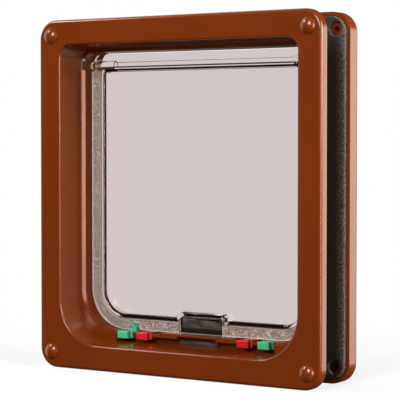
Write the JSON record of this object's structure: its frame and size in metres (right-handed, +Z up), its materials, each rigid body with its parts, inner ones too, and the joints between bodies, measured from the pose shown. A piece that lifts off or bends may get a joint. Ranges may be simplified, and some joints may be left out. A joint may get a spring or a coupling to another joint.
{
  "type": "cat flap",
  "caption": "Cat flap for a house door: brown indoor and outdoor frames, a clear hinged flap edged with grey pile strip, magnets and sliding lock knobs.",
  "frame": {"origin": "middle of the four door screw holes, in the plane where the indoor flange meets the door", "axes": "+X to the right seen from indoors, +Y through the door towards outdoors, +Z up"},
  "size_m": [0.234, 0.0539, 0.251],
  "materials": {
    "brown_plastic": "glossy moulded brown plastic",
    "black_foam": "closed-cell black foam",
    "ferrite": "sintered ferrite magnet",
    "smoked_clear": "clear plastic with a faint warm smoke tint",
    "dark_smoked": "dark smoked plastic",
    "grey_pile": "short brushed pile",
    "green_plastic": "glossy moulded green plastic",
    "red_plastic": "glossy moulded red plastic"
  },
  "bodies": {
    "frame": {"front_frame": "brown_plastic", "rear_frame": "brown_plastic", "foam_seal": "black_foam", "keeper_magnet": "ferrite", "screw_cap_top_left": "brown_plastic", "screw_cap_top_right": "brown_plastic", "screw_cap_bottom_left": "brown_plastic", "screw_cap_bottom_right": "brown_plastic"},
    "flap": {"flap_panel": "smoked_clear", "pile_strip_left": "grey_pile", "pile_strip_right": "grey_pile", "magnet_holder": "dark_smoked", "flap_magnet": "ferrite", "lock_catch": "dark_smoked"},
    "green_left": {"green_slider_left": "green_plastic"},
    "red_left": {"red_slider_left": "red_plastic"},
    "red_right": {"red_slider_right": "red_plastic"},
    "green_right": {"green_slider_right": "green_plastic"}
  },
  "joints": [
    {"name": "flap_hinge", "type": "hinge", "parent": "frame", "child": "flap", "pos_m": [0, 0.0311, 0.0935], "axis": [1, 0, 0], "range_deg": [-85, 85]},
    {"name": "green_left_slide", "type": "slide", "parent": "frame", "child": "green_left", "axis": [1, 0, 0], "range_m": [0, 0.006]},
    {"name": "red_left_slide", "type": "slide", "parent": "frame", "child": "red_left", "axis": [1, 0, 0], "range_m": [0, 0.006]},
    {"name": "red_right_slide", "type": "slide", "parent": "frame", "child": "red_right", "axis": [-1, 0, 0], "range_m": [0, 0.006]},
    {"name": "green_right_slide", "type": "slide", "parent": "frame", "child": "green_right", "axis": [-1, 0, 0], "range_m": [0, 0.006]}
  ]
}
